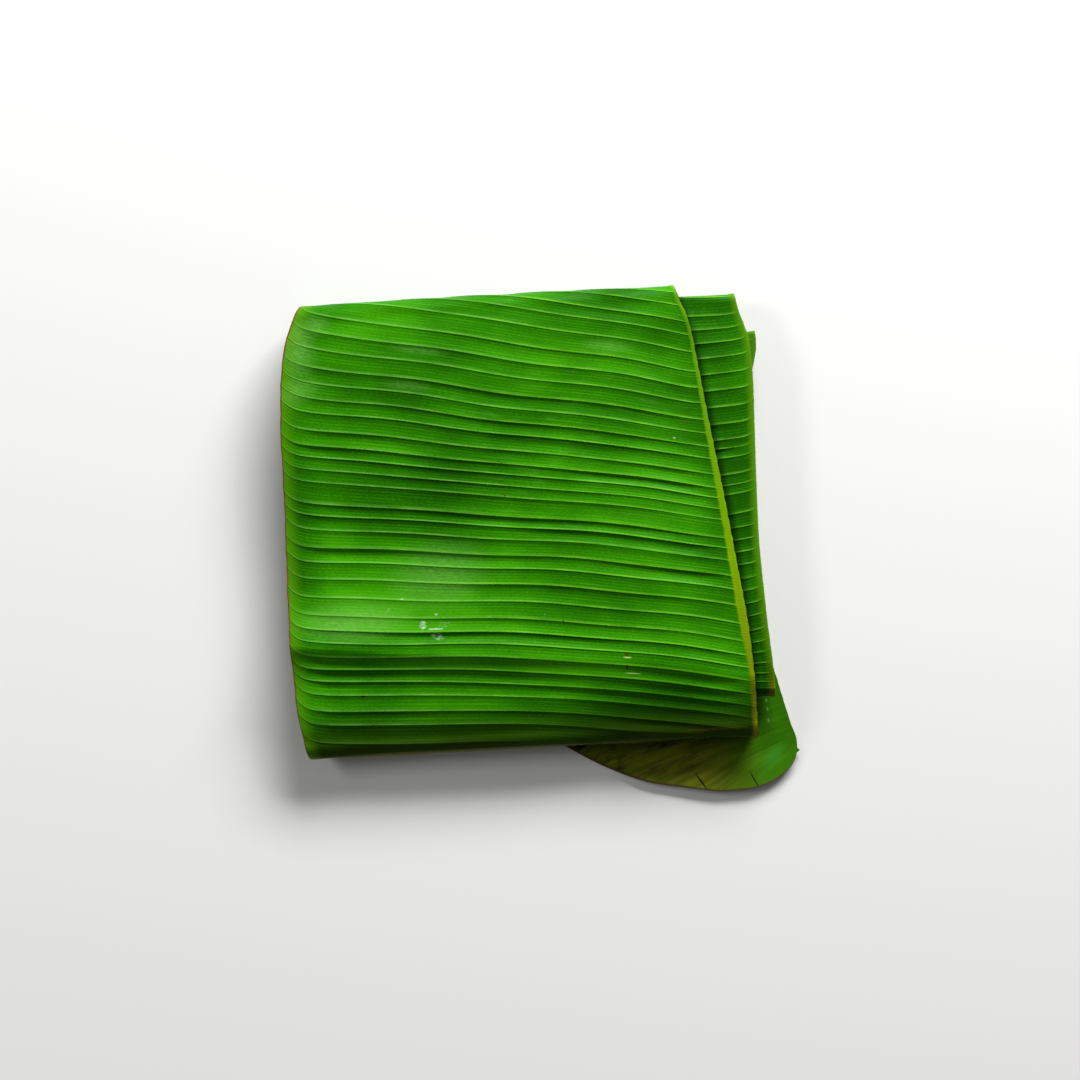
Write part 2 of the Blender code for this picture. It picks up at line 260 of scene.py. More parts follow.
# Rounded tip: each entry joins a distance from the tip, along the midrib, to the place
# (x, distance along the blade) where the vein that starts there meets the margin
TIP_MARGIN = (
    (0.0, 160.4, 23.0), (0.5, 158.9, 18.2), (1.0, 155.8, 13.6), (1.6, 150.5, 9.0),
    (2.4, 143.9, 5.2), (3.3, 134.3, 2.0), (4.0, 127.0, 1.0), (6.0, 113.0, 0.8), (9.0, 103.0, 2.0),
    (15.0, 86.0, 5.1), (20.0, 72.0, 7.7), (25.0, 58.5, 12.3), (33.0, 41.0, 20.7), (39.0, 31.0, 26.4),
    (50.0, 20.0, 33.2), (66.0, 0.0, 47.0), (100.0, -35.0, 76.0), (150.0, -72.0, 121.0),
    (203.0, -100.0, 171.0), (250.0, -117.0, 218.0), (298.0, -126.0, 263.0), (330.0, -129.5, 291.0),
)

# The blade is pulled tauter, and sags less, over the back fold
TAUT = ((340.0, 0.6), (430.0, 0.75), (520.0, 1.0))

# The gaps between veins, in order, where the top layer and the one below it show them
TOP_FROM = 340.0
TOP_GAPS = (
    8.5, 11.0, 13.0, 10.5, 10.0, 11.0, 9.0, 8.5, 8.0, 10.0, 8.5, 6.5, 7.0, 7.0, 12.0, 6.5,
    8.0, 10.0, 8.5, 10.0, 11.0, 10.5, 8.5, 7.5, 8.0, 7.5, 7.0, 7.0, 8.0,
)
SECOND_FROM = 912.0
SECOND_GAPS = (
    8.0, 8.5, 10.0, 11.0, 11.0, 11.0, 11.0, 10.0, 5.5, 6.0, 11.0, 7.0, 6.0, 13.0, 9.0, 8.0,
    7.5, 8.0, 8.5, 7.5, 8.0, 8.0, 9.0, 7.5, 7.0, 7.5, 7.0, 5.5,
)

# Elsewhere the veins stand PITCH apart, give or take a quarter. The first two are close to
# the tip.
random.seed(31)
vein_starts = [0.3, 4.0]
for shown_from, gaps in ((TOP_FROM, TOP_GAPS), (SECOND_FROM, SECOND_GAPS), (blade_end - TIP, ())):
    while vein_starts[-1] < shown_from - 1.7 * PITCH:
        vein_starts.append(vein_starts[-1] + PITCH * random.uniform(0.74, 1.28))
    vein_starts.append(shown_from)
    for gap in gaps:
        vein_starts.append(vein_starts[-1] + gap)


# How many lines the blade is drawn with for each vein, up to a distance along the blade:
# finest where it shows, coarse inside the roll but for its hidden folds
DRAWN = ((TIP + 12.0, 24), (120.0, 9), (300.0, 4), (655.0, 12), (902.0, 1), (1176.0, 9))
FOLD_LINES = 9


def lines_per_vein(m):
    s = TIP + m
    for reach, share in DRAWN:
        if s < reach:
            return share
    for kind, start, length, _, _, _, _, number in course:
        if kind == "turn" and number > 2 and start - 8.0 < s < start + length + 2.0:
            return FOLD_LINES
    return 1


lines = []
for count, (here, after) in enumerate(zip(vein_starts, vein_starts[1:])):
    share = lines_per_vein(here)
    for part in range(share):
        lines.append((here + (after - here) * part / share, count + part / share))
lines.append((vein_starts[-1], float(len(vein_starts) - 1)))

# Shares of the blade's width, from midrib to margin, closer together at both edges
across_blade = [0.0, 0.003, 0.007, 0.011, 0.016, 0.023, 0.032, 0.045]
across_blade += list(np.linspace(0.065, 0.955, 31))
across_blade += [0.97, 0.981, 0.99, 0.996, 1.0]

m, phase = (np.array(column)[:, None] for column in zip(*lines))
t = np.array(across_blade)[None, :]
edge_s = TIP + m
edge_x = through(MIDRIB, edge_s)
lead_s = edge_s - through(LEAD, edge_s)
at_tip = m <= TIP_MARGIN[-1][0]
end_x = np.where(at_tip, through(TIP_MARGIN, m, 1), through(MARGIN, lead_s))
end_s = np.where(at_tip, through(TIP_MARGIN, m, 2), lead_s)
width = np.hypot(end_x - edge_x, end_s - edge_s)
from_midrib = width * t
from_margin = width * (1.0 - t)

# Veins leave the midrib on a curve, run nearly straight, sweep towards the tip close to
# the margin and wander a little. On the second layer they dip and rise again by the edge
# of the top one. On the top layer they belly forward in the middle, and draw back where
# the crease meets the margin: (x, distance along the blade, width, depth, shift).
SHIFTS = ((-5.0, 430.0, 75.0, 95.0, 2.5), (-100.0, 580.0, 70.0, 13.0, -2.4))
x = edge_x + (end_x - edge_x) * t
root = through(ROOT, edge_s)
sweep = through(SWEEP, edge_s)
swept = 0.3 * np.exp(-from_margin / 12.0) + 0.7 * np.exp(-from_margin / 4.0)
s = edge_s - root * (1.0 - (1.0 - np.minimum(1.0, t / 0.7)) ** 2)
s = s + (end_s - edge_s + root + sweep) * t - sweep * swept
second = ease(900.0, 960.0, edge_s) * (1.0 - ease(1144.0, 1176.0, edge_s))
dip = 2.5 * (1.0 - np.exp(-from_midrib / 2.5)) + 8.0 * ease(-60.0, 60.0, from_midrib) - 4.0
s = s + dip * second * (1.0 - ease(0.4, 1.0, t))
for at_x, at_s, wide, deep, shift in SHIFTS:
    s = s + shift * swell(x, s, at_x, at_s, wide, deep)
open_blade = ease(0.0, 10.0, from_midrib) * ease(0.0, 12.0, from_margin)
s = s + 0.7 * open_blade * np.sin(x / 19.0 + s / 23.0) * np.sin(s / 41.0 + 1.3)

# Each panel between two veins hangs by its own amount, which changes along the panel
panel = np.floor(phase).astype(int)
draws = random.Random(77)
hang = np.array([draws.uniform(0.55, 1.3) for _ in range(len(vein_starts) + 1)])[panel]
turn = np.array([draws.uniform(0.0, 6.3) for _ in range(len(vein_starts) + 1)])[panel]
drift = 1.0 + 0.28 * np.sin(x / 38.0 + turn) + 0.12 * np.sin(x / 15.0 + 2.0 * turn)
trough = np.sin(math.pi * (phase - panel) ** 0.72)
quiet = np.ones_like(s)
for kind, start, length, _, _, _, _, number in course:
    gap = np.maximum(np.maximum(start - s, s - start - length), 0.0)
    if kind == "turn" and number > 2:
        quiet = np.minimum(quiet, 0.25 + 0.75 * ease(0.0, 9.0, gap))
    if kind == "run" and number in (2, 4, 5):
        quiet = np.minimum(quiet, ease(0.0, 12.0, gap))
sag = SAG * through(TAUT, s) * hang * drift * trough * quiet * ease(0.0, 28.0, from_midrib)
sag = sag * (0.1 + 0.9 * ease(2.0, 24.0, from_margin))

# The margin is a little uneven, the cut edge has been torn rather than sliced, and the
# very tip ends in a short point
grown = 0.12 * np.sin(s / 5.3) + 0.08 * np.sin(s / 2.1 + 1.0) + 0.25 * np.sin(s / 17.0)
x = x + grown * (1.0 - ease(0.0, 6.0, from_margin)) * ease(0.0, 60.0, m)
torn = 0.12 * np.sin(s / 1.7) + 0.1 * np.sin(s / 0.9 + 2.0) + 0.25 * np.sin(s / 17.0)
torn = torn * (1.0 - 0.75 * ease(700.0, 900.0, s))
x = x + torn * (1.0 - ease(0.0, 2.5, from_midrib)) * ease(0.0, 60.0, m)
x = x + 1.5 * np.exp(-(((x - 160.4) / 1.6) ** 2) - ((s - 23.0) / 1.1) ** 2)
stout = (1.0 - ease(0.0, FLANK_WIDTH, from_midrib)) * ease(0.0, 160.0, m)
sheet_x, sheet_y, sheet_z = place(x, s, sag, stout)

# The mesh is one grid, moved on to these places and then given its thickness
mesh = bpy.data.meshes.new("banana_leaf_blade")
leaf = bpy.data.objects.new("banana_leaf_blade", mesh)
bpy.context.collection.objects.link(leaf)
columns = len(across_blade)
bm = bmesh.new()
bmesh.ops.create_grid(bm, x_segments=columns - 1, y_segments=len(lines) - 1, size=0.5)
grid = sorted(bm.verts, key=lambda v: (round(v.co.y, 6), v.co.x))
for number, vertex in enumerate(grid):
    i, j = divmod(number, columns)
    vertex.index = number
    vertex.co = Vector((sheet_x[i, j], sheet_y[i, j], sheet_z[i, j])) * MM
bm.verts.sort()

# The blade carries its own flat measures, in metres: along and across its veins, then its
# distance from the margin and along the blade. Its veins are also counted from the tip.
vein_map = bm.loops.layers.uv.new("veins")
flat_map = bm.loops.layers.uv.new("flat")
for face in bm.faces:
    for loop in face.loops:
        i, j = divmod(loop.vert.index, columns)
        loop[vein_map].uv = (from_midrib[i, j] * MM, m[i, 0] * MM)
        loop[flat_map].uv = (from_margin[i, j] * MM, s[i, j] * MM)
    face.smooth = True
bm.to_mesh(mesh)
bm.free()

# The pale flank shows as a band of changing width, crisp on the top layer, softer below
BAND = (
    (0.0, 2.0), (300.0, 2.0), (345.0, 2.2), (420.0, 3.0), (500.0, 4.6), (545.0, 5.2),
    (585.0, 3.2), (640.0, 2.6), (900.0, 3.0), (1620.0, 3.6),
)
BAND_SOFT = ((0.0, 1.5), (340.0, 0.9), (560.0, 1.1), (620.0, 1.6), (900.0, 2.6), (1620.0, 2.6))

# How far each point of the second layer lies outside the edge of the top one. The rest of
# the blade counts as far outside.
FAR = 1000.0
_, top_start, top_length, top_back, *_ = course[2]
top_edge = np.linspace(top_start, top_start + top_length, 60)
edge_y = top_back + top_start - top_edge
step = sheet_x - np.interp(sheet_y, edge_y[::-1], through(MIDRIB, top_edge)[::-1])
step = np.where((s > 905.0) & (s < 1200.0), step, FAR)
for name, carried in (
    ("step", step * MM),
    ("band", through(BAND, s) * MM),
    ("band_soft", through(BAND_SOFT, s) * MM),
    ("vein_count", phase + 0.0 * s),
):
    values = mesh.attributes.new(name, "FLOAT", "POINT")
    values.data.foreach_set("value", carried.astype(np.float32).ravel())

flank = leaf.vertex_groups.new(name="flank")
for number, weight in enumerate(stout.ravel()):
    if weight > 0.0:
        flank.add([number], float(weight), "REPLACE")
body = leaf.modifiers.new("Thickness", "SOLIDIFY")
body.thickness = FLANK * MM
body.offset = 0.0
body.vertex_group = "flank"
body.thickness_vertex_group = SHEET / FLANK
body.material_offset = 1
body.material_offset_rim = 2

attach(leaf, "root")
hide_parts("banana_leaf")


# Upper face: live leaf under a thin wax coat, satin, deep green with paler ribs. Fine
# parallel veins, about a millimetre apart, line it across between the ribs.
def srgb(code):
    """An sRGB hex colour as the linear colour that a shader takes."""
    parts = (int(code[i : i + 2], 16) / 255.0 for i in (1, 3, 5))
    return tuple(p / 12.92 if p <= 0.04045 else ((p + 0.055) / 1.055) ** 2.4 for p in parts) + (1.0,)


def add(tree, kind, inputs=None, out=0, **settings):
    """Add a node with its settings, set or link its inputs, and give one output."""
    made = tree.nodes.new("ShaderNode" + kind)
    for name, value in settings.items():
        setattr(made, name, value)
    for key, value in (inputs or {}).items():
        if isinstance(value, bpy.types.NodeSocket):
            tree.links.new(value, made.inputs[key])
        else:
            made.inputs[key].default_value = value
    return made.outputs[out]


def patch(tree, where, x_mm, y_mm, long_mm, wide_mm, angle=0.0, soft=0.5):
    """1 inside an ellipse on the leaf, seen from above, fading to 0 at its rim."""
    spot = add(
        tree,
        "Mapping",
        {
            "Vector": where,
            "Location": (x_mm * MM, y_mm * MM, 0.0),
            "Rotation": (0.0, 0.0, math.radians(angle)),
            "Scale": (long_mm * MM, wide_mm * MM, 1000.0),
        },
        vector_type="TEXTURE",
    )
    reach = add(tree, "VectorMath", {0: spot}, out=1, operation="LENGTH")
    return add(
        tree, "MapRange", {0: reach, 1: 1.0, 2: 1.0 - soft}, interpolation_type="SMOOTHSTEP"
    )


def blank(name):
    material = bpy.data.materials.new(name)
    material.use_nodes = True
    shader = material.node_tree.nodes["Principled BSDF"]
    return material, material.node_tree, shader


upper, tree, shader = blank("waxy upper face of the blade")
vein_uv = add(tree, "UVMap", uv_map="veins")
flat_uv = add(tree, "UVMap", uv_map="flat")
across_m = add(tree, "SeparateXYZ", {0: vein_uv}, out=0)
margin_m = add(tree, "SeparateXYZ", {0: flat_uv}, out=0)
along_m = add(tree, "SeparateXYZ", {0: flat_uv}, out=1)
where = add(tree, "TexCoord", out=3)
height_m = add(tree, "SeparateXYZ", {0: where}, out=2)

# Each panel between two veins has a tone of its own
count = add(tree, "Attribute", out=2, attribute_name="vein_count")
in_panel = add(tree, "Math", {0: count}, operation="FRACT")
panel_number = add(tree, "Math", {0: count}, operation="FLOOR")
panel_tone = add(tree, "TexWhiteNoise", {"W": panel_number}, noise_dimensions="1D", out=0)

# Broad patches of lighter and darker leaf, 40 to 90 mm across
patches = add(tree, "TexNoise", {"Vector": flat_uv, "Scale": 16.0, "Detail": 3.0, "Roughness": 0.5})
# Fine veins, 1.9 mm apart (real ones are nearer 0.8, too fine for the picture), strong and
# weak by turns
drawn_out = add(tree, "Mapping", {"Vector": vein_uv, "Scale": (0.03, 1.0, 1.0)})
fine_veins = add(
    tree,
    "TexWave",
    {"Vector": drawn_out, "Scale": 165.0, "Distortion": 1.2, "Detail": 2.0, "Detail Scale": 1.5},
    out=1,
    bands_direction="Y",
)
strength = add(tree, "Mapping", {"Vector": vein_uv, "Scale": (22.0, 260.0, 1.0)})
strength = add(tree, "TexNoise", {"Vector": strength, "Scale": 1.0, "Detail": 2.0})
strength = add(tree, "MapRange", {0: strength, 1: 0.3, 2: 0.7})
fine_veins = add(tree, "Math", {0: fine_veins, 1: strength}, operation="MULTIPLY")
# The leaf's own grain: flecks about 0.5 by 2 mm, drawn out along the veins
grain_stretch = add(tree, "Mapping", {"Vector": vein_uv, "Scale": (500.0, 1900.0, 1.0)})
grain = add(tree, "TexNoise", {"Vector": grain_stretch, "Scale": 1.0, "Detail": 1.0})

tone = add(tree, "Math", {0: patches, 1: 0.7, 2: 0.0}, operation="MULTIPLY_ADD")
tone = add(tree, "Math", {0: panel_tone, 1: 0.14, 2: tone}, operation="MULTIPLY_ADD")
tone = add(tree, "Math", {0: fine_veins, 1: 0.22, 2: tone}, operation="MULTIPLY_ADD")
tone = add(tree, "Math", {0: grain, 1: 0.4, 2: tone}, operation="MULTIPLY_ADD")
# Larger parts of the leaf made lighter or darker as a whole. Some is the leaf's own tone; most is
# painted light and shade: painted highlight on the rise behind the left of the crease and just in front
# of it, painted shade on the front slopes by the fold
for x_mm, y_mm, long_mm, wide_mm, angle, amount in (
    (-78.0, 18.0, 75.0, 30.0, 0.0, -0.16),
    (-134.0, 0.0, 20.0, 66.0, 4.0, -0.24),
    (-90.0, -50.0, 85.0, 30.0, 0.0, 0.24),
    (-95.0, 90.0, 50.0, 40.0, 0.0, -0.06),
    (75.0, -124.0, 100.0, 24.0, -4.0, -0.22),
    (-110.0, -122.0, 60.0, 14.0, 0.0, -0.16),
    (134.0, 20.0, 26.0, 150.0, 0.0, -0.12),
    (-10.0, 45.0, 70.0, 45.0, -5.0, -0.12),
    (100.0, -50.0, 50.0, 35.0, -5.0, 0.08),
    (0.0, -96.0, 110.0, 24.0, -5.0, 0.14),
    (-40.0, -112.0, 60.0, 16.0, 0.0, 0.1),
):
    tone_and_shade_patch = patch(tree, where, x_mm, y_mm, long_mm, wide_mm, angle, 1.0)
    tone = add(tree, "Math", {0: tone_and_shade_patch, 1: amount, 2: tone}, operation="MULTIPLY_ADD")
# Painted shade: each panel is darker in front of a vein, where it dips away from the light, and the
# second layer is darker as a whole, in the shade of the top one
hollow = add(tree, "MapRange", {0: in_panel, 1: 0.08, 2: 0.95, 3: -0.04, 4: 0.05})
tone = add(tree, "Math", {0: tone, 1: hollow}, operation="ADD")
step = add(tree, "Attribute", out=2, attribute_name="step")
second_layer_shade = add(tree, "Math", {0: step, 1: 0.5}, operation="LESS_THAN")
tone = add(tree, "Math", {0: second_layer_shade, 1: -0.13, 2: tone}, operation="MULTIPLY_ADD")
greens = tree.nodes.new("ShaderNodeValToRGB")
tree.links.new(tone, greens.inputs[0])
greens.color_ramp.elements[0].position = 0.42
greens.color_ramp.elements[0].color = srgb("#1a5702")
greens.color_ramp.elements[1].position = 0.92
greens.color_ramp.elements[1].color = srgb("#419c08")
middle = greens.color_ramp.elements.new(0.66)
middle.color = srgb("#2a7a02")
colour = greens.outputs[0]

# Ribs: a line of paler green about a millimetre wide up to each crest, partly the rib's own colour and
# partly painted highlight: it lies on the side of the crest that faces the light, is whiter near the
# margin, and is lost in the shade of the front fold
crest = add(tree, "Math", {0: in_panel, 1: 0.5}, operation="SUBTRACT")
crest = add(tree, "Math", {0: crest}, operation="ABSOLUTE")
rib = add(tree, "MapRange", {0: crest, 1: 0.435, 2: 0.49}, interpolation_type="SMOOTHSTEP")
rib_wear = add(tree, "TexNoise", {"Vector": flat_uv, "Scale": 60.0, "Detail": 2.0})
rib_share = add(tree, "MapRange", {0: rib_wear, 1: 0.3, 2: 0.7, 3: 0.12, 4: 0.42})
rib_lit_side = add(tree, "MapRange", {0: in_panel, 1: 0.82, 2: 0.97}, interpolation_type="SMOOTHSTEP")
rib_share = add(tree, "Math", {0: rib_lit_side, 1: rib_share}, operation="MULTIPLY")
shaded = patch(tree, where, 95.0, -126.0, 150.0, 27.0, -3.0, 0.7)
shaded = add(tree, "Math", {0: shaded, 1: -0.8, 2: 1.0}, operation="MULTIPLY_ADD")
rib_share = add(tree, "Math", {0: rib_share, 1: shaded}, operation="MULTIPLY")
whiter = add(tree, "MapRange", {0: margin_m, 1: 0.17, 2: 0.05})
rib_colour = add(tree, "MixRGB", {0: whiter, 1: srgb("#82d430"), 2: srgb("#82c656")})
rib_fade = add(tree, "MapRange", {0: margin_m, 1: 0.001, 2: 0.02, 3: 0.15, 4: 1.0})
rib_share = add(tree, "Math", {0: rib_share, 1: rib_fade}, operation="MULTIPLY")
colour = add(tree, "MixRGB", {0: rib_share, 1: colour, 2: rib_colour})

# Painted shade: a fine dark line in front of each rib, where the blade drops away from the light more
# steeply than the mesh shows
groove_shade = add(tree, "MapRange", {0: in_panel, 1: 0.17, 2: 0.05}, interpolation_type="SMOOTHSTEP")
groove_shade = add(tree, "Math", {0: groove_shade, 1: rib}, operation="SUBTRACT", use_clamp=True)
groove_shade_fade = add(tree, "MapRange", {0: margin_m, 1: 0.01, 2: 0.13, 3: 0.0, 4: 0.1})
groove_shade = add(tree, "Math", {0: groove_shade, 1: groove_shade_fade}, operation="MULTIPLY")
colour = add(tree, "MixRGB", {0: groove_shade, 1: colour, 2: srgb("#0c3a01")})

# Wax bloom and painted sheen: whitish where the wax is thick or rubbed, most by the back corner of the
# margin; the patches behind the crease and the smears over the middle are painted sheen where the blade
# faces the light
on_top = add(tree, "Math", {0: height_m, 1: 0.0195}, operation="GREATER_THAN")
wax_grain = add(tree, "Mapping", {"Vector": vein_uv, "Scale": (260.0, 900.0, 1.0)})
wax_grain = add(tree, "TexNoise", {"Vector": wax_grain, "Scale": 1.0, "Detail": 4.0, "Roughness": 0.7})
wax_grain = add(tree, "MapRange", {0: wax_grain, 1: 0.42, 2: 0.66})
smears = add(tree, "Mapping", {"Vector": vein_uv, "Scale": (45.0, 240.0, 1.0)})
smears = add(tree, "TexNoise", {"Vector": smears, "Scale": 1.0, "Detail": 2.0})
smears = add(tree, "MapRange", {0: smears, 1: 0.58, 2: 0.7})
smeared = patch(tree, where, 25.0, 50.0, 120.0, 100.0, 0.0, 0.8)
smears = add(tree, "Math", {0: smears, 1: smeared}, operation="MULTIPLY")
wax_and_sheen = add(tree, "Math", {0: smears, 1: 0.1}, operation="MULTIPLY")
for x_mm, y_mm, long_mm, wide_mm, angle, amount in (
    (-136.0, 119.0, 17.0, 32.0, 8.0, 0.66),
    (-140.0, 88.0, 26.0, 13.0, 10.0, 0.6),
    (-124.0, 132.0, 14.0, 10.0, 0.0, 0.4),
    (-50.0, -32.0, 40.0, 28.0, 10.0, 0.42),
    (-104.0, -60.0, 46.0, 17.0, 0.0, 0.58),
    (60.0, 108.0, 22.0, 6.0, -8.0, 0.35),
    (-58.0, 112.0, 26.0, 5.0, -9.0, 0.3),
    (-66.0, 88.0, 22.0, 5.0, -9.0, 0.25),
):
    bloom_and_sheen = patch(tree, where, x_mm, y_mm, long_mm, wide_mm, angle, 0.9)
    bloom_and_sheen = add(tree, "Math", {0: bloom_and_sheen, 1: amount}, operation="MULTIPLY")
    speckled = add(tree, "Math", {0: wax_grain, 1: 0.6, 2: 0.4}, operation="MULTIPLY_ADD")
    bloom_and_sheen = add(tree, "Math", {0: bloom_and_sheen, 1: speckled}, operation="MULTIPLY")
    wax_and_sheen = add(tree, "Math", {0: wax_and_sheen, 1: bloom_and_sheen}, operation="MAXIMUM")
wax_and_sheen = add(tree, "Math", {0: wax_and_sheen, 1: on_top}, operation="MULTIPLY")
colour = add(tree, "MixRGB", {0: wax_and_sheen, 1: colour, 2: srgb("#7cc450")})

# Rubbed spot: the wax is scraped white in a few small flakes and scratches
flakes = add(tree, "Mapping", {"Vector": where, "Scale": (0.55, 1.0, 1.0)})
flakes = add(tree, "TexNoise", {"Vector": flakes, "Scale": 800.0, "Detail": 4.0, "Roughness": 0.75})
scrape = patch(tree, where, -61.6, -64.0, 3.6, 4.2, 0.0, 0.6)
for x_mm, y_mm, long_mm, wide_mm, angle, amount in (
    (-54.0, -66.9, 8.5, 0.9, -1.0, 1.0), (-52.9, -71.2, 7.0, 3.6, -18.0, 0.8),
    (-48.5, -64.2, 6.0, 3.4, 0.0, 0.65), (-53.2, -57.7, 1.3, 1.0, 0.0, 1.0),
    (-74.0, -47.0, 2.4, 0.7, 15.0, 0.9), (-81.9, -53.3, 4.6, 0.5, 54.0, 0.75),
    (-67.4, -43.4, 5.0, 0.45, 41.0, 0.6), (-108.3, -73.2, 7.5, 0.5, -27.0, 0.65),
    (12.0, -62.0, 0.5, 2.4, 0.0, 0.6), (-24.0, -61.0, 5.5, 0.5, 2.0, 0.5),
):
    other = patch(tree, where, x_mm, y_mm, long_mm, wide_mm, angle, 0.6)
    other = add(tree, "Math", {0: other, 1: amount}, operation="MULTIPLY")
    scrape = add(tree, "Math", {0: scrape, 1: other}, operation="MAXIMUM")
scrape = add(tree, "Math", {0: scrape, 1: 0.34, 2: flakes}, operation="MULTIPLY_ADD")
scrape = add(tree, "MapRange", {0: scrape, 1: 0.72, 2: 1.0})
scrape = add(tree, "Math", {0: scrape, 1: on_top}, operation="MULTIPLY")
colour = add(tree, "MixRGB", {0: scrape, 1: colour, 2: srgb("#d3e6cf")})

# Small dry nicks and specks: brown, near black, and the pale scars beside two nicks
BROWN_NICKS = (
    (59.6, -88.5, 1.7, 1.5), (59.4, -96.1, 1.2, 1.8), (-10.0, 16.0, 1.5, 0.8), (-8.5, 14.6, 0.8, 1.2),
)
for code, places in (
    ("#4a4c12", BROWN_NICKS),
    ("#20300a", ((-99.0, -105.0, 1.9, 0.9), (-33.0, -109.0, 0.8, 0.6), (23.0, -66.0, 0.7, 0.7))),
    ("#b0cc74", ((59.9, -90.4, 3.4, 0.55), (62.9, -99.9, 6.0, 0.45), (98.3, 46.4, 1.3, 0.5))),
):
    nick = None
    for x_mm, y_mm, long_mm, wide_mm in places:
        other = patch(tree, where, x_mm, y_mm, long_mm, wide_mm, -6.0, 0.6)
        nick = add(tree, "Math", {0: nick, 1: other}, operation="MAXIMUM") if nick else other
    nick = add(tree, "Math", {0: nick, 1: on_top}, operation="MULTIPLY")
    colour = add(tree, "MixRGB", {0: nick, 1: colour, 2: srgb(code)})

# Painted shade: the second layer is dark where it runs in under the edge of the top one
tucked_shade = add(tree, "MapRange", {0: step, 1: 0.0062, 2: 0.0003}, interpolation_type="SMOOTHSTEP")
tucked_shade = add(tree, "Math", {0: tucked_shade, 1: 0.88}, operation="MULTIPLY")
colour = add(tree, "MixRGB", {0: tucked_shade, 1: colour, 2: srgb("#072401")})

# The front fold is dark along its crown, partly the leaf's own bruised colour and partly painted shade
# where it turns down away from the light, with one dried rib, and dry brown under it
forward = add(tree, "SeparateXYZ", {0: where}, out=1)
fold_crown_shade = add(tree, "MapRange", {0: forward, 1: -0.11, 2: -0.1365}, interpolation_type="SMOOTHSTEP")
fold_crown_shade = add(tree, "Math", {0: fold_crown_shade, 1: 0.85}, operation="MULTIPLY")
colour = add(tree, "MixRGB", {0: fold_crown_shade, 1: colour, 2: srgb("#232c06")})
under_fold = add(tree, "MapRange", {0: height_m, 1: 0.0152, 2: 0.0128}, interpolation_type="SMOOTHSTEP")
under_fold = add(tree, "Math", {0: under_fold, 1: fold_crown_shade}, operation="MULTIPLY")
sideways = add(tree, "SeparateXYZ", {0: where}, out=0)
sideways = add(tree, "MapRange", {0: sideways, 1: 0.0, 2: 0.08, 3: 1.0, 4: 0.2})
under_fold = add(tree, "Math", {0: under_fold, 1: sideways}, operation="MULTIPLY")
colour = add(tree, "MixRGB", {0: under_fold, 1: colour, 2: srgb("#77763f")})

dried = patch(tree, where, 110.0, -134.6, 28.0, 1.2, 0.5, 0.7)
outside = add(tree, "Math", {0: height_m, 1: 0.0135}, operation="GREATER_THAN")
dried = add(tree, "Math", {0: dried, 1: outside}, operation="MULTIPLY")
dried = add(tree, "Math", {0: dried, 1: 0.28}, operation="MULTIPLY")
colour = add(tree, "MixRGB", {0: dried, 1: colour, 2: srgb("#745a1a")})

# Flank of the midrib: a pale yellow-green band, browner at the torn edge itself
band = add(tree, "Attribute", out=2, attribute_name="band")
band_soft = add(tree, "Attribute", out=2, attribute_name="band_soft")
ragged = add(tree, "TexNoise", {"Vector": flat_uv, "Scale": 180.0, "Detail": 2.0})
ragged = add(tree, "Math", {0: ragged, 1: 0.0016, 2: -0.0008}, operation="MULTIPLY_ADD")
reach = add(tree, "Math", {0: across_m, 1: ragged}, operation="ADD")
inner = add(tree, "Math", {0: band, 1: band_soft}, operation="SUBTRACT")
outer = add(tree, "Math", {0: band, 1: band_soft}, operation="ADD")
pale = add(tree, "MapRange", {0: reach, 1: outer, 2: inner}, interpolation_type="SMOOTHSTEP")
flanks = tree.nodes.new("ShaderNodeValToRGB")
tree.links.new(add(tree, "Math", {0: along_m, 1: 1.22}, operation="DIVIDE"), flanks.inputs[0])
flank_colours = (
    (0.0, "#4c8010"), (0.27, "#5a9c12"), (0.34, "#6aa80e"), (0.42, "#7fae06"),
    (0.475, "#76900a"), (0.51, "#7a7c10"), (0.72, "#4f8c0c"), (0.955, "#548e0c"), (0.968, "#8a7c1c"),
)
ramp = flanks.color_ramp
ramp.elements[0].position, ramp.elements[0].color = 0.0, srgb(flank_colours[0][1])
ramp.elements[1].position, ramp.elements[1].color = 1.0, srgb("#4f8414")
for position, code in flank_colours[1:]:
    ramp.elements.new(position).color = srgb(code)
colour = add(tree, "MixRGB", {0: pale, 1: colour, 2: flanks.outputs[0]})
brown = add(tree, "MapRange", {0: reach, 1: 0.0008, 2: 0.0}, interpolation_type="SMOOTHSTEP")
brown_share = add(tree, "MapRange", {0: along_m, 1: 0.65, 2: 0.9, 3: 0.5, 4: 0.1})
brown = add(tree, "Math", {0: brown, 1: brown_share}, operation="MULTIPLY")
colour = add(tree, "MixRGB", {0: brown, 1: colour, 2: srgb("#4d4410")})

# Margin: paler yellow-green over the last centimetre, then a dry brown rim
edge = add(tree, "MapRange", {0: margin_m, 1: 0.011, 2: 0.001}, interpolation_type="SMOOTHSTEP")
edge = add(tree, "Math", {0: edge, 1: 0.55}, operation="MULTIPLY")
colour = add(tree, "MixRGB", {0: edge, 1: colour, 2: srgb("#58960c")})
rim_noise = add(tree, "TexNoise", {"Vector": flat_uv, "Scale": 120.0, "Detail": 3.0})
rim_reach = add(tree, "Math", {0: rim_noise, 1: 0.0018, 2: 0.0002}, operation="MULTIPLY_ADD")
rim = add(tree, "MapRange", {0: margin_m, 1: rim_reach, 2: 0.0004}, interpolation_type="SMOOTHSTEP")
colour = add(tree, "MixRGB", {0: rim, 1: colour, 2: srgb("#7d5a14")})
tree.links.new(colour, shader.inputs["Base Color"])

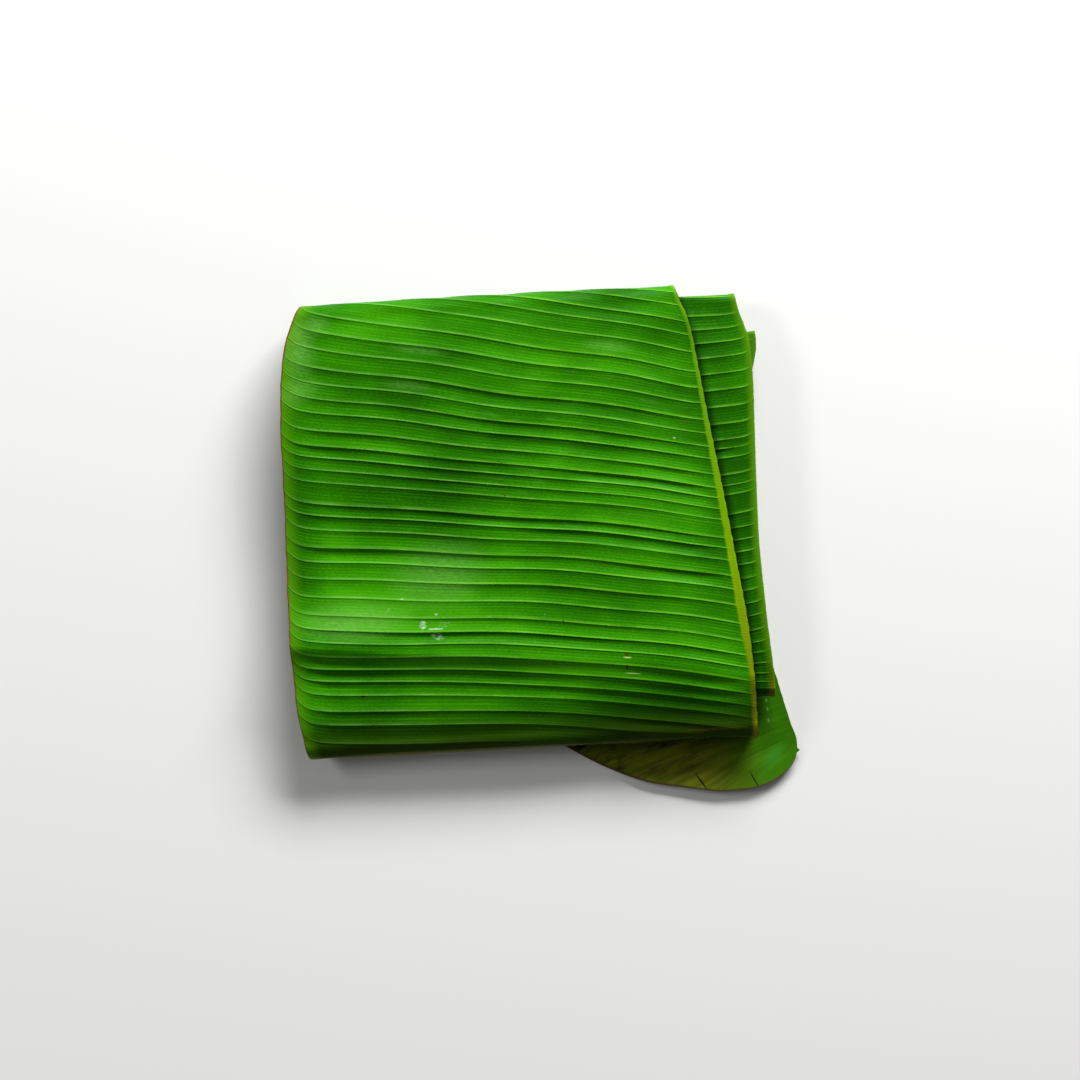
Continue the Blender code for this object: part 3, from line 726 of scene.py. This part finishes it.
gloss = add(tree, "Math", {0: grain, 1: 0.24, 2: 0.2}, operation="MULTIPLY_ADD")
gloss = add(tree, "Math", {0: wax_and_sheen, 1: 0.3, 2: gloss}, operation="MULTIPLY_ADD")
tree.links.new(gloss, shader.inputs["Roughness"])
shader.inputs["Specular IOR Level"].default_value = 0.02
smooth_blade = add(tree, "Math", {0: 1.0, 1: pale}, operation="SUBTRACT")
rib = add(tree, "Math", {0: rib, 1: smooth_blade}, operation="MULTIPLY")
raised = add(tree, "Math", {0: fine_veins, 1: 0.4}, operation="MULTIPLY")
raised = add(tree, "Math", {0: grain, 1: 0.35, 2: raised}, operation="MULTIPLY_ADD")
raised = add(tree, "Math", {0: rib, 1: 1.2, 2: raised}, operation="MULTIPLY_ADD")
relief = add(tree, "Bump", {"Strength": 1.0, "Distance": 0.00013, "Height": raised})
tree.links.new(relief, shader.inputs["Normal"])
leaf.data.materials.append(upper)

# Underside: the same leaf without the gloss, duller and more olive, bruised brown in
# places, with the ribs as soft streaks. It shows on the rounded tip.
under, tree, shader = blank("dull underside of the blade")
vein_uv = add(tree, "UVMap", uv_map="veins")
flat_uv = add(tree, "UVMap", uv_map="flat")
margin_m = add(tree, "SeparateXYZ", {0: flat_uv}, out=0)
where = add(tree, "TexCoord", out=3)
sideways = add(tree, "SeparateXYZ", {0: where}, out=0)
bruise = add(tree, "TexNoise", {"Vector": flat_uv, "Scale": 22.0, "Detail": 4.0, "Roughness": 0.6})
stretch = add(tree, "Mapping", {"Vector": vein_uv, "Scale": (16.0, 420.0, 1.0)})
streaks = add(tree, "TexNoise", {"Vector": stretch, "Scale": 1.0, "Detail": 3.0, "Roughness": 0.65})
fresh = add(tree, "MapRange", {0: sideways, 1: 0.1, 2: 0.15}, interpolation_type="SMOOTHSTEP")
olive = tree.nodes.new("ShaderNodeValToRGB")
tree.links.new(streaks, olive.inputs[0])
olive.color_ramp.elements[0].position = 0.3
olive.color_ramp.elements[0].color = srgb("#464e14")
olive.color_ramp.elements[1].position = 0.75
olive.color_ramp.elements[1].color = srgb("#767e14")
live = tree.nodes.new("ShaderNodeValToRGB")
tree.links.new(streaks, live.inputs[0])
live.color_ramp.elements[0].position = 0.1
live.color_ramp.elements[0].color = srgb("#285f02")
live.color_ramp.elements[1].position = 0.95
live.color_ramp.elements[1].color = srgb("#3e7c06")
fresh = add(tree, "Math", {0: bruise, 1: 0.5, 2: fresh}, operation="MULTIPLY_ADD")
fresh = add(tree, "MapRange", {0: fresh, 1: 0.2, 2: 1.2})
colour = add(tree, "MixRGB", {0: fresh, 1: olive.outputs[0], 2: live.outputs[0]})
# Painted sheen: a bluish-green highlight by the point of the tip
bluish_sheen = patch(tree, where, 146.0, -151.0, 13.0, 6.0, 45.0, 0.8)
bluish_sheen = add(tree, "Math", {0: bluish_sheen, 1: 0.45}, operation="MULTIPLY")
colour = add(tree, "MixRGB", {0: bluish_sheen, 1: colour, 2: srgb("#3e8e28")})
blotches = add(tree, "Mapping", {"Vector": vein_uv, "Scale": (26.0, 90.0, 1.0)})
blotches = add(tree, "TexNoise", {"Vector": blotches, "Scale": 1.0, "Detail": 4.0, "Roughness": 0.65})
blotches = add(tree, "MapRange", {0: blotches, 1: 0.47, 2: 0.62})
decay = patch(tree, where, 52.0, -142.0, 74.0, 24.0, -4.0, 0.6)
decay = add(tree, "Math", {0: decay, 1: blotches}, operation="MULTIPLY")
colour = add(tree, "MixRGB", {0: decay, 1: colour, 2: srgb("#10130a")})
specks = add(tree, "TexVoronoi", {"Vector": flat_uv, "Scale": 210.0}, out=0)
specks = add(tree, "MapRange", {0: specks, 1: 0.13, 2: 0.07})
speck_share = add(tree, "MapRange", {0: bruise, 1: 0.5, 2: 0.6, 3: 0.0, 4: 0.75})
specks = add(tree, "Math", {0: specks, 1: speck_share}, operation="MULTIPLY")
colour = add(tree, "MixRGB", {0: specks, 1: colour, 2: srgb("#141a06")})
rim_noise = add(tree, "TexNoise", {"Vector": flat_uv, "Scale": 150.0, "Detail": 3.0})
rim_reach = add(tree, "Math", {0: rim_noise, 1: 0.003, 2: 0.0002}, operation="MULTIPLY_ADD")
rim = add(tree, "MapRange", {0: margin_m, 1: rim_reach, 2: 0.0005}, interpolation_type="SMOOTHSTEP")
colour = add(tree, "MixRGB", {0: rim, 1: colour, 2: srgb("#4e3e20")})
splits = patch(tree, where, 101.0, -164.0, 7.5, 0.8, -58.0, 0.6)
other = patch(tree, where, 133.0, -164.5, 7.5, 0.6, -66.0, 0.6)
splits = add(tree, "Math", {0: splits, 1: other}, operation="MAXIMUM")
colour = add(tree, "MixRGB", {0: splits, 1: colour, 2: srgb("#16200a")})
marks = patch(tree, where, 144.5, -116.5, 0.9, 1.4, 0.0, 0.5)
for y_mm in (-122.0, -129.0):
    other = patch(tree, where, 144.8, y_mm, 0.8, 1.6, 10.0, 0.5)
    marks = add(tree, "Math", {0: marks, 1: other}, operation="MAXIMUM")
marks = add(tree, "Math", {0: marks, 1: 0.5}, operation="MULTIPLY")
colour = add(tree, "MixRGB", {0: marks, 1: colour, 2: srgb("#7fb070")})
tree.links.new(colour, shader.inputs["Base Color"])
shader.inputs["Roughness"].default_value = 0.55
shader.inputs["Specular IOR Level"].default_value = 0.03
relief = add(tree, "Bump", {"Strength": 1.0, "Distance": 0.00012, "Height": streaks})
tree.links.new(relief, shader.inputs["Normal"])
leaf.data.materials.append(under)

# Edges of the sheet: fibrous and dull, brown at the margin and yellow-green where the
# blade was pulled off its midrib
cut, tree, shader = blank("torn and dried edge of the blade")
flat_uv = add(tree, "UVMap", uv_map="flat")
margin_m = add(tree, "SeparateXYZ", {0: flat_uv}, out=0)
side = add(tree, "MapRange", {0: margin_m, 1: 0.0, 2: 0.02})
fibres = add(tree, "TexNoise", {"Vector": flat_uv, "Scale": 700.0, "Detail": 3.0})
dry = add(tree, "MixRGB", {0: fibres, 1: srgb("#4a3010"), 2: srgb("#9a7526")})
moist = add(tree, "MixRGB", {0: fibres, 1: srgb("#5c5212"), 2: srgb("#93a326")})
colour = add(tree, "MixRGB", {0: side, 1: dry, 2: moist})
tree.links.new(colour, shader.inputs["Base Color"])
shader.inputs["Roughness"].default_value = 0.7
leaf.data.materials.append(cut)

# The table: a plain pale painted board, wider than the picture
board = bpy.data.meshes.new("table")
table = bpy.data.objects.new("table", board)
bpy.context.collection.objects.link(table)
bm = bmesh.new()
bmesh.ops.create_grid(bm, x_segments=1, y_segments=1, size=3.0)
bmesh.ops.translate(bm, verts=bm.verts, vec=(0.0, 0.0, -0.0002))
bm.to_mesh(board)
bm.free()
paint, tree, shader = blank("matt white paint")
shader.inputs["Base Color"].default_value = srgb("#f4f4f2")
shader.inputs["Roughness"].default_value = 0.8
shader.inputs["Specular IOR Level"].default_value = 0.2
board.materials.append(paint)

# Light: one wide soft window behind the leaf and low, a weaker one high over its left,
# and a little from all round
def window(name, azimuth, elevation, reach, size, power):
    """A soft light, wider than tall, aimed at the leaf; azimuth 0 is straight behind it."""
    light = bpy.data.lights.new(name, "AREA")
    light.shape = "RECTANGLE"
    light.size, light.size_y = size, size * 0.4
    light.energy = power
    lamp = bpy.data.objects.new(name, light)
    bpy.context.collection.objects.link(lamp)
    a, e = math.radians(azimuth), math.radians(elevation)
    towards = Vector((math.sin(a) * math.cos(e), math.cos(a) * math.cos(e), math.sin(e)))
    facing = towards.to_track_quat("Z", "Y").to_matrix().to_4x4()
    lamp.matrix_world = Matrix.Translation(towards * reach) @ facing


window("back window", 24.0, 25.0, 3.0, 2.4, 176.0)
window("left window", -75.0, 32.0, 3.0, 1.4, 22.0)
world = bpy.data.worlds.new("room")
world.use_nodes = True
world.node_tree.nodes["Background"].inputs["Color"].default_value = (1.0, 1.0, 1.0, 1.0)
world.node_tree.nodes["Background"].inputs["Strength"].default_value = 0.12
bpy.context.scene.world = world
bpy.context.scene.view_settings.view_transform = "Standard"

# Camera: a little in front of straight above, as the photograph was taken. Its focal
# length and its aim are in pixels of the photograph, and its height and reach in metres.
CAMERA_AZIMUTH = -3.0
CAMERA_ELEVATION = 76.0
CAMERA_REACH = 1.0
PICTURE = 1080.0
FOCAL_PIXELS = 1613.0
AIM_HEIGHT = 0.012
AIM_RIGHT = -20.0
AIM_UP = 17.0
SENSOR = 36.0
lens = bpy.data.cameras.new("camera")
lens.sensor_width = SENSOR
lens.lens = SENSOR * FOCAL_PIXELS / PICTURE
camera = bpy.data.objects.new("camera", lens)
bpy.context.collection.objects.link(camera)
a, e = math.radians(CAMERA_AZIMUTH), math.radians(CAMERA_ELEVATION)
back = Vector((math.sin(a) * math.cos(e), -math.cos(a) * math.cos(e), math.sin(e)))
right = Vector((math.cos(a), math.sin(a), 0.0))
up = back.cross(right)
eye = Vector((0.0, 0.0, AIM_HEIGHT)) + back * CAMERA_REACH
eye -= (right * AIM_RIGHT + up * AIM_UP) * (CAMERA_REACH / FOCAL_PIXELS)
turned = Matrix((right, up, back)).transposed().to_4x4()
camera.matrix_world = Matrix.Translation(eye) @ turned
bpy.context.scene.camera = camera
